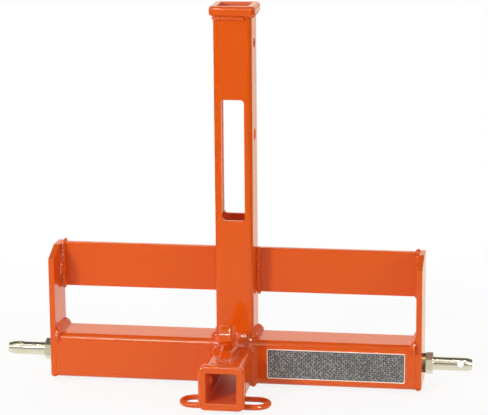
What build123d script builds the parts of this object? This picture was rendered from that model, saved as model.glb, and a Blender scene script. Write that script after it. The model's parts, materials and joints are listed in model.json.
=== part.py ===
"""Three point receiver hitch.

A welded steel frame that hangs on a tractor's three point linkage and offers two
square 2 inch receiver sockets, one level at the bottom and one upright in the mast.

X runs along the lower link pins, -Y points out of the lower receiver and +Z is up.
The origin is the middle of the line through both lower link pins. Units are millimetres.
"""

import os

from build123d import *

os.makedirs("parts", exist_ok=True)

INCH = 25.4

# Cross tube: the level main member between the end plates
cross_size = 3 * INCH
cross_wall = 0.25 * INCH
cross_radius = 0.375 * INCH
cross_length = 24 * INCH

# Receiver stock: the square tube of the mast and of the lower receiver
stock_size = 2.5 * INCH
stock_wall = 0.25 * INCH
stock_radius = 0.3125 * INCH

# Mast
mast_height = 22 * INCH
slot_width = 1.5 * INCH
back_slot_width = 2 * INCH
slot_height = 8 * INCH
slot_radius = 6.0
slot_centre_z = 341.3
top_link_z = 15 * INCH
top_link_hole_r = 9.8

# Lower receiver
receiver_front_reach = 130.2
receiver_back_reach = 0.5 * INCH

# Collars: the bands that stiffen both mouths
collar_size = 3 * INCH
collar_depth = 16.0
collar_corner_r = 11.0
collar_front_edge_r = 5.0
collar_back_edge_r = 4.0
mouth_edge_r = 1.5
mast_pin_to_mouth = 2.5 * INCH
receiver_pin_to_mouth = 2 * INCH
hitch_pin_hole_r = 8.35

# End plates
plate_thickness = 0.375 * INCH
plate_height = 8.625 * INCH
plate_lift = 0.125 * INCH
plate_edge_r = 1.0
plate_corner_depth = 41.0
plate_corner_height = 16.0

# Upper bars
bar_height = 3 * INCH
bar_thickness = 0.375 * INCH
bar_edge_r = 1.2

# Lower link pins, with the hex shoulder and the threaded shank forged in one with them
link_pin_r = 11.1
link_pin_length = 65.0
link_pin_nose_length = 8.5
link_pin_nose_drop = 2.3
hex_across_flats = 1.25 * INCH
hex_thickness = 11.3
hex_turn_right = 26.0
hex_turn_left = 23.0
shank_r = 0.375 * INCH
shank_clearance = 0.4
linch_hole_r = 5.75
linch_hole_to_tip = 19.0
linch_hole_angle_right = 20.0
linch_hole_angle_left = 80.0

# Lock washers and the nuts welded behind the end plates
washer_thickness = 5.2
washer_outer_r = 16.2
washer_gap = 2.5
washer_gap_slant = 18.0
nut_thickness = 16.0
shank_beyond_nut = 2.0

# Safety chain loop: one ring of round bar under the receiver
loop_bar_r = 0.1875 * INCH
loop_width = 6 * INCH
loop_depth = 2 * INCH
loop_behind_collar = 3.6

# Chain hook: a forging on top of the receiver, with a throat that grips one link
hook_width = 23.0
hook_length = 54.0
hook_height = 57.0
hook_base_height = 18.0
hook_throat = 10.5
hook_throat_depth = 30.0
hook_tip_r = 7.0
hook_tip_overhang = 1.0
hook_crest_setback = 17.0
hook_lip_r = 7.0
hook_edge_r = 6.0
hook_behind_collar = 34.0

# Welds: each leg is measured along both faces that the bead joins
mast_weld_leg = 9.5
receiver_weld_leg = 8.0
plate_weld_leg = 9.0
bar_weld_leg = 6.5
collar_weld_leg = 5.0
collar_weld_sink = 1.2
collar_weld_length = 31.0
hook_weld_leg = 5.5
loop_weld_leg = 7.0
loop_weld_length = 46.0
weld_land = 0.4
weld_crown = 0.56
weld_end_gap = 2.0
weld_proud = 1.5
loop_weld_root = 1.0

# Places worked out from the sizes
cross_half = cross_size / 2
stock_half = stock_size / 2
socket_size = stock_size - 2 * stock_wall
socket_radius = stock_radius - stock_wall
mast_y = cross_half - stock_half
mast_top_z = cross_half + mast_height
mast_pin_z = mast_top_z - mast_pin_to_mouth
receiver_z = stock_half - cross_half
receiver_top_z = receiver_z + stock_half
receiver_bottom_z = receiver_z - stock_half
receiver_front_y = -cross_half - receiver_front_reach
receiver_back_y = cross_half + receiver_back_reach
receiver_pin_y = receiver_front_y + receiver_pin_to_mouth
receiver_collar_back_y = receiver_front_y + collar_depth
plate_inner_x = cross_length / 2
plate_outer_x = plate_inner_x + plate_thickness
bar_back_y = mast_y + stock_half - stock_radius
bar_front_y = bar_back_y - bar_thickness
plate_bottom_z = plate_lift - cross_half
bar_top_z = plate_bottom_z + plate_height
bar_centre_z = bar_top_z - bar_height / 2
shoulder_x = plate_outer_x + washer_thickness + hex_thickness
loop_y = receiver_collar_back_y + loop_behind_collar + loop_depth / 2
loop_z = receiver_bottom_z - loop_bar_r
loop_end_r = loop_depth / 2 - loop_bar_r
loop_straight = loop_width - loop_depth
hook_front_y = receiver_collar_back_y + hook_behind_collar


def write(builder, name):
    """Label a finished piece and write it to its own file."""
    builder.part.label = name
    export_step(builder.part, f"parts/{name}.step")


def square_bar(plane, centre, size, radius, length):
    """A solid square bar with rounded corners, used to cut the place of a square tube."""
    with BuildPart() as bar:
        with BuildSketch(plane):
            with Locations(centre):
                RectangleRounded(size, size, radius)
        extrude(amount=length)
    return bar.part


def ring_weld(plane, centre, leg, root):
    """A fillet bead round a stock tube, with a root that fills down to a rounded surface."""
    toe = stock_size + 2 * (leg + weld_land)
    with BuildPart() as bead:
        with BuildSketch(plane) as toe_line:
            with Locations(centre):
                RectangleRounded(toe, toe, stock_radius + leg + weld_land)
        extrude(amount=leg, taper=45)
        extrude(toe_line.sketch, amount=-root)
    return bead.part


def straight_weld(start, along, up, leg, length):
    """A crowned fillet bead: it starts at a corner, runs along it and climbs the side named up."""
    side = Vector(*up).cross(Vector(*along))
    with BuildPart() as bead:
        with BuildSketch(Plane(origin=start, x_dir=side, z_dir=along)):
            with BuildLine():
                Line((0, leg), (0, 0))
                Line((0, 0), (leg, 0))
                ThreePointArc((leg, 0), (leg * weld_crown, leg * weld_crown), (0, leg))
            make_face()
        extrude(amount=length)
    return bead.part


# Cross tube, notched from below where the receiver passes through it
with BuildPart() as cross_tube:
    with BuildSketch(Plane.YZ):
        RectangleRounded(cross_size, cross_size, cross_radius)
        inner = cross_size - 2 * cross_wall
        RectangleRounded(inner, inner, cross_radius - cross_wall, mode=Mode.SUBTRACT)
    extrude(amount=cross_length / 2, both=True)
    with BuildSketch(Plane.XZ):
        with Locations((0, receiver_z)):
            RectangleRounded(stock_size, stock_size, stock_radius)
            Rectangle(stock_size, stock_size, align=(Align.CENTER, Align.MAX))
    extrude(amount=cross_size, both=True, mode=Mode.SUBTRACT)
write(cross_tube, "cross_tube")

# The full outline of the cross tube, used to trim what is welded against it
with BuildPart() as cross_outline:
    with BuildSketch(Plane.YZ):
        RectangleRounded(cross_size, cross_size, cross_radius)
    extrude(amount=cross_length / 2, both=True)

# Mast: a receiver tube on end, slotted in front and open its full inner width behind, where
# the top link's ball goes in
with BuildPart() as mast_tube:
    with BuildSketch(Plane.XY.offset(cross_half)):
        with Locations((0, mast_y)):
            RectangleRounded(stock_size, stock_size, stock_radius)
            RectangleRounded(socket_size, socket_size, socket_radius, mode=Mode.SUBTRACT)
    extrude(amount=mast_height)
    for width, reach in ((slot_width, stock_size), (back_slot_width, -stock_size)):
        with BuildSketch(Plane.XZ.offset(-mast_y)):
            with Locations((0, slot_centre_z)):
                RectangleRounded(width, slot_height, slot_radius)
        extrude(amount=reach, mode=Mode.SUBTRACT)
    with BuildSketch(Plane.YZ):
        with Locations((mast_y, top_link_z)):
            Circle(top_link_hole_r)
        with Locations((mast_y, mast_pin_z)):
            Circle(hitch_pin_hole_r)
    extrude(amount=stock_size, both=True, mode=Mode.SUBTRACT)
    mouth = mast_tube.faces().sort_by(Axis.Z)[-1].inner_wires()[0]
    fillet(mouth.edges(), radius=mouth_edge_r)
write(mast_tube, "mast_tube")

# Lower receiver: the same tube laid level, open at both ends
with BuildPart() as receiver_tube:
    with BuildSketch(Plane.XZ.offset(-receiver_back_y)):
        with Locations((0, receiver_z)):
            RectangleRounded(stock_size, stock_size, stock_radius)
            RectangleRounded(socket_size, socket_size, socket_radius, mode=Mode.SUBTRACT)
    extrude(amount=receiver_back_y - receiver_front_y)
    with BuildSketch(Plane.YZ):
        with Locations((receiver_pin_y, receiver_z)):
            Circle(hitch_pin_hole_r)
    extrude(amount=stock_size, both=True, mode=Mode.SUBTRACT)
    mouth = receiver_tube.faces().sort_by(Axis.Y)[0].inner_wires()[0]
    fillet(mouth.edges(), radius=mouth_edge_r)
write(receiver_tube, "receiver_tube")


def collar(plane, centre):
    """A square band round the end of a stock tube, its outer rims rounded over."""
    with BuildPart() as band:
        with BuildSketch(plane):
            with Locations(centre):
                RectangleRounded(collar_size, collar_size, collar_corner_r)
        extrude(amount=collar_depth)
        back, front = band.faces().filter_by(plane).sort_by(Axis(plane.origin, plane.z_dir))
        fillet(front.edges(), radius=collar_front_edge_r)
        back = band.faces().filter_by(plane).sort_by(Axis(plane.origin, plane.z_dir))[0]
        fillet(back.edges(), radius=collar_back_edge_r)
        add(square_bar(plane, centre, stock_size, stock_radius, collar_depth), mode=Mode.SUBTRACT)
    return band.part


# Collars at both mouths
with BuildPart() as mast_collar:
    add(collar(Plane.XY.offset(mast_top_z - collar_depth), (0, mast_y)))
write(mast_collar, "mast_collar")

with BuildPart() as receiver_collar:
    add(collar(Plane.XZ.offset(-receiver_collar_back_y), (0, receiver_z)))
write(receiver_collar, "receiver_collar")

# End plates: each closes one end of the cross tube and carries the outer end of a bar
for side, name in ((-1, "end_plate_left"), (1, "end_plate_right")):
    with BuildPart() as end_plate:
        with BuildSketch(Plane.YZ.offset(side * plate_inner_x)):
            with BuildLine():
                Polyline(
                    (-cross_half, plate_bottom_z),
                    (cross_half, plate_bottom_z),
                    (cross_half, bar_top_z),
                    (-cross_half + plate_corner_depth, bar_top_z),
                    (-cross_half, bar_top_z - plate_corner_height),
                    close=True,
                )
            make_face()
            Circle(shank_r + shank_clearance, mode=Mode.SUBTRACT)
        extrude(amount=side * plate_thickness)
        fillet(end_plate.edges().filter_by(GeomType.LINE), radius=plate_edge_r)
    write(end_plate, name)

# Upper bars: flat bars on edge from the mast's sides to the end plates
bar_length = plate_inner_x - stock_half
for side, name in ((-1, "upper_bar_left"), (1, "upper_bar_right")):
    with BuildPart() as upper_bar:
        with Locations((side * (stock_half + bar_length / 2), bar_front_y, bar_centre_z)):
            Box(bar_length, bar_thickness, bar_height, align=(Align.CENTER, Align.MIN, Align.CENTER))
        fillet(upper_bar.edges().filter_by(Axis.X), radius=bar_edge_r)
    write(upper_bar, name)

# Lower link pins: shank, hex shoulder and pin are one turned piece
nut_inner_x = plate_inner_x - nut_thickness
shank_end_x = nut_inner_x - shank_beyond_nut
pin_end_x = shoulder_x + link_pin_length
linch_hole_x = pin_end_x - linch_hole_to_tip
pin_sides = (
    (-1, "left", hex_turn_left, linch_hole_angle_left),
    (1, "right", hex_turn_right, linch_hole_angle_right),
)
for side, word, hex_turn, linch_angle in pin_sides:
    with BuildPart() as link_pin:
        with BuildSketch(Plane.XZ):
            with BuildLine():
                Polyline(
                    (side * shank_end_x, 0),
                    (side * shank_end_x, shank_r),
                    (side * shoulder_x, shank_r),
                    (side * shoulder_x, link_pin_r),
                    (side * (pin_end_x - link_pin_nose_length), link_pin_r),
                    (side * pin_end_x, link_pin_r - link_pin_nose_drop),
                    (side * pin_end_x, 0),
                    close=True,
                )
            make_face()
        revolve(axis=Axis.X)
        with BuildSketch(Plane.YZ.offset(side * (plate_outer_x + washer_thickness))):
            RegularPolygon(hex_across_flats / 2, 6, major_radius=False, rotation=hex_turn)
        extrude(amount=side * hex_thickness)
        with Locations(Location((side * linch_hole_x, 0, 0), (90 - linch_angle, 0, 0))):
            Cylinder(linch_hole_r, 4 * link_pin_r, mode=Mode.SUBTRACT)
    write(link_pin, f"lower_link_pin_{word}")

# Split lock washers under the hex shoulders
for side, word in ((-1, "left"), (1, "right")):
    with BuildPart() as lock_washer:
        with BuildSketch(Plane.YZ.offset(side * plate_outer_x)):
            Circle(washer_outer_r)
            Circle(shank_r + shank_clearance, mode=Mode.SUBTRACT)
        extrude(amount=side * washer_thickness)
        washer_middle = side * (plate_outer_x + washer_thickness / 2)
        with Locations(Location((washer_middle, 0, washer_outer_r), (0, 0, washer_gap_slant))):
            Box(3 * washer_thickness, washer_gap, 2 * (washer_outer_r - shank_r), mode=Mode.SUBTRACT)
    write(lock_washer, f"lock_washer_{word}")

# Nuts welded behind the end plates, inside the cross tube
for side, word in ((-1, "left"), (1, "right")):
    with BuildPart() as weld_nut:
        with BuildSketch(Plane.YZ.offset(side * nut_inner_x)):
            RegularPolygon(hex_across_flats / 2, 6, major_radius=False)
            Circle(shank_r, mode=Mode.SUBTRACT)
        extrude(amount=side * nut_thickness)
    write(weld_nut, f"weld_nut_{word}")

# Safety chain loop: round bar bent into a flat ring with straight sides
loop_front_y = loop_y - loop_end_r
loop_back_y = loop_y + loop_end_r
with BuildPart() as chain_loop:
    with BuildLine() as ring_line:
        front_side = Line(
            (-loop_straight / 2, loop_front_y, loop_z),
            (loop_straight / 2, loop_front_y, loop_z),
        )
        right_end = JernArc(front_side @ 1, front_side % 1, loop_end_r, 180)
        back_side = Line(right_end @ 1, (-loop_straight / 2, loop_back_y, loop_z))
        JernArc(back_side @ 1, back_side % 1, loop_end_r, 180)
    with BuildSketch(Plane(origin=front_side @ 0, z_dir=front_side % 0)):
        Circle(loop_bar_r)
    sweep()
write(chain_loop, "chain_loop")

# Chain hook: foot, throat and finger in one forging, drawn from the side
foot_z = receiver_top_z
throat_bottom_z = foot_z + hook_base_height
throat_top_z = throat_bottom_z + hook_throat
throat_middle_z = throat_bottom_z + hook_throat / 2
throat_turn_y = hook_front_y + hook_throat_depth - hook_throat / 2
hook_back_y = hook_front_y + hook_length
crest_y = hook_front_y + hook_crest_setback
crest_z = foot_z + hook_height
back_r = hook_back_y - crest_y
tip_y = hook_front_y - hook_tip_overhang + hook_tip_r
tip_z = throat_top_z + hook_tip_r

# The brow is the one arc that lies level at the crest and runs smoothly into the round tip
brow_run = crest_y - tip_y
brow_rise = crest_z - tip_z
brow_r = (brow_run**2 + brow_rise**2 - hook_tip_r**2) / (2 * (brow_rise - hook_tip_r))
brow_centre = Vector(crest_y, crest_z - brow_r)
brow_end = brow_centre + (Vector(tip_y, tip_z) - brow_centre).normalized() * brow_r
with BuildPart() as chain_hook:
    with BuildSketch(Plane.YZ) as hook_side:
        with BuildLine():
            Polyline(
                (hook_front_y, foot_z),
                (hook_back_y, foot_z),
                (hook_back_y, crest_z - back_r),
            )
            CenterArc((crest_y, crest_z - back_r), back_r, 0, 90)
            RadiusArc((crest_y, crest_z), (brow_end.X, brow_end.Y), -brow_r)
            ThreePointArc(
                (brow_end.X, brow_end.Y),
                (tip_y - hook_tip_r, tip_z),
                (tip_y, throat_top_z),
            )
            Line((tip_y, throat_top_z), (throat_turn_y, throat_top_z))
            ThreePointArc(
                (throat_turn_y, throat_top_z),
                (throat_turn_y + hook_throat / 2, throat_middle_z),
                (throat_turn_y, throat_bottom_z),
            )
            Polyline(
                (throat_turn_y, throat_bottom_z),
                (hook_front_y, throat_bottom_z),
                (hook_front_y, foot_z),
            )
        make_face()
        lip = hook_side.vertices().sort_by_distance((0, hook_front_y, throat_bottom_z))[0]
        fillet(lip, radius=hook_lip_r)
    extrude(amount=hook_width / 2, both=True)
    hook_flanks = chain_hook.faces().sort_by(Axis.X)
    flank_edges = hook_flanks[0].edges() + hook_flanks[-1].edges()
    fillet(flank_edges.filter_by(lambda edge: edge.center().Z > foot_z + 1), radius=hook_edge_r)
write(chain_hook, "chain_hook")

# Mast base weld, trimmed where the mast's back is flush with the cross tube
mast_seat = Plane.XY.offset(cross_half)
with BuildPart() as mast_base_weld:
    add(ring_weld(mast_seat, (0, mast_y), mast_weld_leg, cross_radius))
    add(square_bar(mast_seat, (0, mast_y), stock_size, stock_radius, cross_half), mode=Mode.SUBTRACT)
    add(cross_outline.part, mode=Mode.SUBTRACT)
    split(bisect_by=Plane.XZ.offset(-cross_half - weld_proud), keep=Keep.TOP)
write(mast_base_weld, "mast_base_weld")

# Receiver welds, front and back, trimmed level with the underside of the cross tube
receiver_start = Plane.XZ.offset(-receiver_back_y)
receiver_length = receiver_back_y - receiver_front_y
receiver_place = square_bar(receiver_start, (0, receiver_z), stock_size, stock_radius, receiver_length)
for seat, name in (
    (Plane.front.offset(cross_half), "receiver_front_weld"),
    (Plane.back.offset(cross_half), "receiver_rear_weld"),
):
    with BuildPart() as receiver_weld:
        add(ring_weld(seat, (0, receiver_z), receiver_weld_leg, cross_radius))
        add(receiver_place, mode=Mode.SUBTRACT)
        add(cross_outline.part, mode=Mode.SUBTRACT)
        add(mast_base_weld.part, mode=Mode.SUBTRACT)
        split(bisect_by=Plane.XY.offset(-cross_half), keep=Keep.TOP)
    write(receiver_weld, name)

# Seam welds along the rounded lower corners of the receiver, under the cross tube
with BuildPart() as receiver_seam_weld:
    with Locations((0, 0, -cross_half)):
        Box(stock_size, cross_size, cross_wall, align=(Align.CENTER, Align.CENTER, Align.MIN))
    add(receiver_place, mode=Mode.SUBTRACT)
    add(cross_outline.part, mode=Mode.INTERSECT)
write(receiver_seam_weld, "receiver_seam_weld")

# Collar welds: one short bead in the middle of each side that has room for it
bead_start = (0, -collar_weld_length / 2, collar_weld_sink)
bead_leg = collar_weld_leg + collar_weld_sink
collar_bead = straight_weld(bead_start, (0, 1, 0), (0, 0, -1), bead_leg, collar_weld_length)
with BuildPart() as mast_collar_weld:
    with Locations(Plane((0, mast_y, mast_top_z - collar_depth))):
        with PolarLocations(stock_half, 4):
            add(collar_bead)
    add(mast_collar.part, mode=Mode.SUBTRACT)
write(mast_collar_weld, "mast_collar_weld")

with BuildPart() as receiver_collar_weld:
    with Locations(Plane((0, receiver_collar_back_y, receiver_z), (1, 0, 0), (0, -1, 0))):
        with PolarLocations(stock_half, 3, angular_range=180, endpoint=True):
            add(collar_bead)
    add(receiver_collar.part, mode=Mode.SUBTRACT)
write(receiver_collar_weld, "receiver_collar_weld")

# End plate welds: along the flat top of the cross tube, and under the plate's lower edge
plate_weld_length = cross_size - 2 * cross_radius - 2 * weld_end_gap
for side, word in ((-1, "left"), (1, "right")):
    with BuildPart() as end_plate_weld:
        start = (side * plate_inner_x, -side * plate_weld_length / 2, cross_half)
        add(straight_weld(start, (0, side, 0), (0, 0, 1), plate_weld_leg, plate_weld_length))
        start = (side * plate_inner_x, side * plate_weld_length / 2, plate_bottom_z)
        add(straight_weld(start, (0, -side, 0), (side, 0, 0), plate_lift, plate_weld_length))
    write(end_plate_weld, f"end_plate_weld_{word}")

# Upper bar welds: both sides of the bar at the end plate, the front side at the mast
bar_weld_length = bar_height - 2 * weld_end_gap
for side, word in ((-1, "left"), (1, "right")):
    corners = (
        (plate_inner_x, bar_front_y, -1, side),
        (plate_inner_x, bar_back_y, 1, -side),
        (stock_half, bar_front_y, -1, -side),
    )
    with BuildPart() as upper_bar_weld:
        for corner_x, corner_y, climb, along in corners:
            start = (side * corner_x, corner_y, bar_centre_z - along * bar_weld_length / 2)
            add(straight_weld(start, (0, 0, along), (0, climb, 0), bar_weld_leg, bar_weld_length))
    write(upper_bar_weld, f"upper_bar_weld_{word}")

# Chain loop welds: both sides of each straight, against the underside of the receiver
with BuildPart() as chain_loop_weld:
    for bar_y in (loop_front_y, loop_back_y):
        for along in (-1, 1):
            start = (-along * loop_weld_length / 2, bar_y, receiver_bottom_z)
            add(straight_weld(start, (along, 0, 0), (0, 0, -1), loop_weld_leg, loop_weld_length))
        with Locations((0, bar_y, receiver_bottom_z)):
            Box(loop_weld_length, 2 * loop_weld_root, 3 * loop_weld_leg, mode=Mode.SUBTRACT)
    add(chain_loop.part, mode=Mode.SUBTRACT)
write(chain_loop_weld, "chain_loop_weld")

# Chain hook weld: one bead all round the foot
with BuildPart() as chain_hook_weld:
    with BuildSketch(Plane.XY.offset(foot_z)):
        with Locations((0, hook_front_y + hook_length / 2)):
            spread = 2 * (hook_weld_leg + weld_land)
            corner = hook_edge_r + hook_weld_leg + weld_land
            RectangleRounded(hook_width + spread, hook_length + spread, corner)
    extrude(amount=hook_weld_leg, taper=45)
    with BuildSketch(Plane.XY.offset(foot_z)):
        with Locations((0, hook_front_y + hook_length / 2)):
            RectangleRounded(hook_width, hook_length, hook_edge_r)
    extrude(amount=hook_weld_leg, mode=Mode.SUBTRACT)
write(chain_hook_weld, "chain_hook_weld")
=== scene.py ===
# %% [markdown]
# # Dressing a three point receiver hitch
#
# The solids of this hitch come from a CAD model that is already the right size. This lesson
# loads them, gives every piece a finish made of shader nodes, lays rippled weld beads over the
# plain fillets with Geometry Nodes, and sets up a small photo studio around it.

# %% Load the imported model
import json
import math

import bmesh
import bpy
from mathutils import Matrix, Vector


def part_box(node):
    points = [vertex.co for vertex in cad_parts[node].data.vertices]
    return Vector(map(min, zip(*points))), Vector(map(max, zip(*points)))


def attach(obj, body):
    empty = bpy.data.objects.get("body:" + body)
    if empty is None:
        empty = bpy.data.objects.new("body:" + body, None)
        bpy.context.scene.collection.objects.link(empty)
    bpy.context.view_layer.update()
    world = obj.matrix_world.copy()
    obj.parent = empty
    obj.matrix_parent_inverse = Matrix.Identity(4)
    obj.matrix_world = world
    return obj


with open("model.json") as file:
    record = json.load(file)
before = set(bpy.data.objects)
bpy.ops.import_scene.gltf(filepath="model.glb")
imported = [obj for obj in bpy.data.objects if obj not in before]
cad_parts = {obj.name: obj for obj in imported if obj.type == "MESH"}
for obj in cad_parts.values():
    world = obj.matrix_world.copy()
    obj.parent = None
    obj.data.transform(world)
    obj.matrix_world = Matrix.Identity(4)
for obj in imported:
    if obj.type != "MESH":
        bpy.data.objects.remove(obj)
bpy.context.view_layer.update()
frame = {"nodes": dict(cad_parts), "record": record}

MM = 0.001
scene = bpy.context.scene
print("nodes loaded:", len(frame["nodes"]))

# %% [markdown]
# ## Camera
#
# A long lens from a few metres away keeps the sides of the mast almost parallel. The place and
# the turn below were found by fitting the known sizes of the steel to their edges in the picture.
# A camera looks along its own -Z axis, so its matrix is built from three directions: right, up
# and back. Blender could also aim it with a Track To constraint, but a matrix keeps the roll.

# %% Camera
camera_place = Vector((573.9, -3486.8, 1070.2)) * MM
turn = math.radians(9.255)
tilt = math.radians(12.802)
roll = math.radians(-0.526)
back = Vector((math.sin(turn) * math.cos(tilt), -math.cos(turn) * math.cos(tilt), math.sin(tilt)))
level_right = Vector((math.cos(turn), math.sin(turn), 0.0))
level_up = back.cross(level_right)
right = level_right * math.cos(roll) + level_up * math.sin(roll)
up = level_up * math.cos(roll) - level_right * math.sin(roll)
camera_data = bpy.data.cameras.new("studio_camera")
camera = bpy.data.objects.new("studio_camera", camera_data)
scene.collection.objects.link(camera)
camera.matrix_world = Matrix.Translation(camera_place) @ Matrix((right, up, back)).transposed().to_4x4()
camera_data.lens = 160.67
camera_data.sensor_width = 36.0
camera_data.shift_x = 0.0099
camera_data.shift_y = -0.0123
camera_data.clip_end = 60.0
scene.camera = camera
scene.view_settings.view_transform = "Standard"
print("camera stands", round(camera_place.length, 2), "m from the hitch")

# %% [markdown]
# ## Small helpers for nodes
#
# A node tree is a list of nodes and a list of links. The helpers keep the cells below short: one
# adds a node with its values set, one adds a Math node with its numbers, and one makes links. They
# serve shaders and Geometry Nodes alike.

# %% Node helpers
def add_node(tree, kind, **values):
    """A new node; a value whose name is a socket goes to that socket, others to the node."""
    node = tree.nodes.new(kind)
    for name, value in values.items():
        socket_name = name.replace("_", " ")
        if socket_name in node.inputs:
            node.inputs[socket_name].default_value = value
        else:
            setattr(node, name, value)
    return node


def maths(tree, operation, *numbers):
    """A Math node; the numbers go to the inputs after the first."""
    node = add_node(tree, "ShaderNodeMath", operation=operation)
    for socket, number in zip(node.inputs[1:], numbers):
        socket.default_value = number
    return node


def connect(tree, *links):
    """Links; each one is (node, output, node, input)."""
    for source, output, target, socket in links:
        tree.links.new(source.outputs[output], target.inputs[socket])


print("node helpers ready")

# %% [markdown]
# A group needs sockets before nodes can be linked to it, and a material needs one Principled
# shader. The last helper sets grey stops on a Color Ramp, which draws a curve of brightness.

# %% Group, material and ramp helpers
FLOAT, COLOUR, VECTOR = "NodeSocketFloat", "NodeSocketColor", "NodeSocketVector"


def new_group(name, inputs, outputs):
    """An empty shader group with its sockets; inputs are (name, kind, default)."""
    group = bpy.data.node_groups.new(name, "ShaderNodeTree")
    for socket_name, kind, default in inputs:
        socket = group.interface.new_socket(socket_name, in_out="INPUT", socket_type=kind)
        socket.default_value = default
    for socket_name, kind in outputs:
        group.interface.new_socket(socket_name, in_out="OUTPUT", socket_type=kind)
    return group, group.nodes.new("NodeGroupInput"), group.nodes.new("NodeGroupOutput")


def new_material(name, **surface):
    """A material with one Principled shader whose plain values are given."""
    material = bpy.data.materials.new(name)
    material.use_nodes = True
    shader = material.node_tree.nodes["Principled BSDF"]
    for socket_name, value in surface.items():
        shader.inputs[socket_name.replace("_", " ")].default_value = value
    return material, material.node_tree, shader


def set_stops(ramp_node, stops):
    """Grey stops on a Color Ramp; each is (position, level)."""
    ramp = ramp_node.color_ramp
    for _ in range(len(stops) - len(ramp.elements)):
        ramp.elements.new(0.5)
    for element, (position, level) in zip(ramp.elements, stops):
        element.position = position
        element.color = (level, level, level, 1.0)


print("group, material and ramp helpers ready")

# %% [markdown]
# ## A shared surface group
#
# Sprayed or plated, every finish here varies a little over the steel: the colour drifts, the
# gloss breaks up, and there is a fine relief. One group makes all three from Object coordinates,
# so the pattern stays fixed to the steel. Each material sets its own sizes and amounts.

# %% Surface group sockets
surface_group, surface_in, surface_out = new_group(
    "steel_surface",
    [
        ("Colour", COLOUR, (0.5, 0.5, 0.5, 1.0)),
        ("Drift Colour", COLOUR, (0.4, 0.4, 0.4, 1.0)),
        ("Drift Size", FLOAT, 12.0),
        ("Drift Amount", FLOAT, 0.5),
        ("Gloss", FLOAT, 0.2),
        ("Gloss Spread", FLOAT, 0.1),
        ("Grain Size", FLOAT, 500.0),
        ("Grain Stretch", VECTOR, (1.0, 1.0, 1.0)),
    ],
    [("Colour", COLOUR), ("Roughness", FLOAT), ("Grain", FLOAT)],
)
print("surface group sockets:", len(surface_group.interface.items_tree))

# %% [markdown]
# Three noises do the work. One mixes the two colours, one is added to the roughness, and the
# finest, squeezed along the axes that the material asks for, is the grain.

# %% Surface group nodes
place = add_node(surface_group, "ShaderNodeTexCoord")
drift = add_node(surface_group, "ShaderNodeTexNoise", Detail=3.0, Roughness=0.55)
drift_share = maths(surface_group, "MULTIPLY")
drift_mix = add_node(surface_group, "ShaderNodeMix", data_type="RGBA")
smudge = add_node(surface_group, "ShaderNodeTexNoise", Scale=34.0, Detail=4.0)
smudge_share = maths(surface_group, "MULTIPLY_ADD")
stretch = add_node(surface_group, "ShaderNodeVectorMath", operation="MULTIPLY")
grain = add_node(surface_group, "ShaderNodeTexNoise", Detail=2.0, Roughness=0.5)
connect(
    surface_group,
    (place, "Object", drift, "Vector"),
    (surface_in, "Drift Size", drift, "Scale"),
    (drift, "Fac", drift_share, 0),
    (surface_in, "Drift Amount", drift_share, 1),
    (drift_share, 0, drift_mix, "Factor"),
    (surface_in, "Colour", drift_mix, "A"),
    (surface_in, "Drift Colour", drift_mix, "B"),
    (drift_mix, "Result", surface_out, "Colour"),
    (place, "Object", smudge, "Vector"),
    (smudge, "Fac", smudge_share, 0),
    (surface_in, "Gloss Spread", smudge_share, 1),
    (surface_in, "Gloss", smudge_share, 2),
    (smudge_share, 0, surface_out, "Roughness"),
    (place, "Object", stretch, 0),
    (surface_in, "Grain Stretch", stretch, 1),
    (stretch, "Vector", grain, "Vector"),
    (surface_in, "Grain Size", grain, "Scale"),
    (grain, "Fac", surface_out, "Grain"),
)
print("surface group has", len(surface_group.nodes), "nodes")

# %% [markdown]
# A finish is a material that uses the group. Values that stay the same all over the steel, such
# as Metallic, are set on the shader itself, and only what varies comes out of the group. The
# grain could move the mesh by displacement, but at this size a bump looks the same.

# %% Steel finish
def steel_finish(name, bump_height, surface, **group_values):
    """A material whose colour, gloss and relief come from the surface group."""
    material, tree, shader = new_material(name, **surface)
    group = add_node(tree, "ShaderNodeGroup", node_tree=surface_group)
    for socket_name, value in group_values.items():
        group.inputs[socket_name.replace("_", " ")].default_value = value
    bump = add_node(tree, "ShaderNodeBump", Distance=bump_height, Strength=1.0)
    connect(
        tree,
        (group, "Colour", shader, "Base Color"),
        (group, "Roughness", shader, "Roughness"),
        (group, "Grain", bump, "Height"),
        (bump, "Normal", shader, "Normal"),
    )
    return material


print("steel finish ready")

# %% [markdown]
# ## Finishes
#
# The frame is powder coated: a thick glossy plastic skin, so it is not metallic, it mirrors
# its surroundings softly and it has a faint orange peel. The link pins are zinc plated steel,
# turned on a lathe, so their grain runs round them: the noise is squeezed along X only. The lock
# washers are plain steel with a dark colour.

# %% Finishes
orange_peel = 0.12 * MM
powder = {
    "Colour": (0.80, 0.109, 0.005, 1.0),
    "Drift_Colour": (0.72, 0.086, 0.0035, 1.0),
    "Drift_Size": 5.0,
    "Drift_Amount": 0.45,
    "Gloss": 0.06,
    "Gloss_Spread": 0.07,
    "Grain_Size": 260.0,
}
powder_shader = {"IOR": 1.5}
orange_coat = steel_finish("orange_powder_coat", orange_peel, powder_shader, **powder)
zinc_plate = steel_finish(
    "turned_zinc_steel",
    0.03 * MM,
    {"Metallic": 1.0},
    Colour=(0.82, 0.81, 0.76, 1.0),
    Drift_Colour=(0.64, 0.61, 0.50, 1.0),
    Drift_Size=40.0,
    Drift_Amount=0.6,
    Gloss=0.09,
    Gloss_Spread=0.12,
    Grain_Size=60.0,
    Grain_Stretch=(22.0, 0.4, 0.4),
)
washer_steel = steel_finish(
    "dark_washer_steel",
    0.1 * MM,
    {"Metallic": 1.0},
    Colour=(0.18, 0.13, 0.078, 1.0),
    Drift_Colour=(0.08, 0.06, 0.04, 1.0),
    Drift_Size=90.0,
    Drift_Amount=0.8,
    Gloss=0.30,
    Gloss_Spread=0.2,
    Grain_Size=500.0,
)
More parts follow.
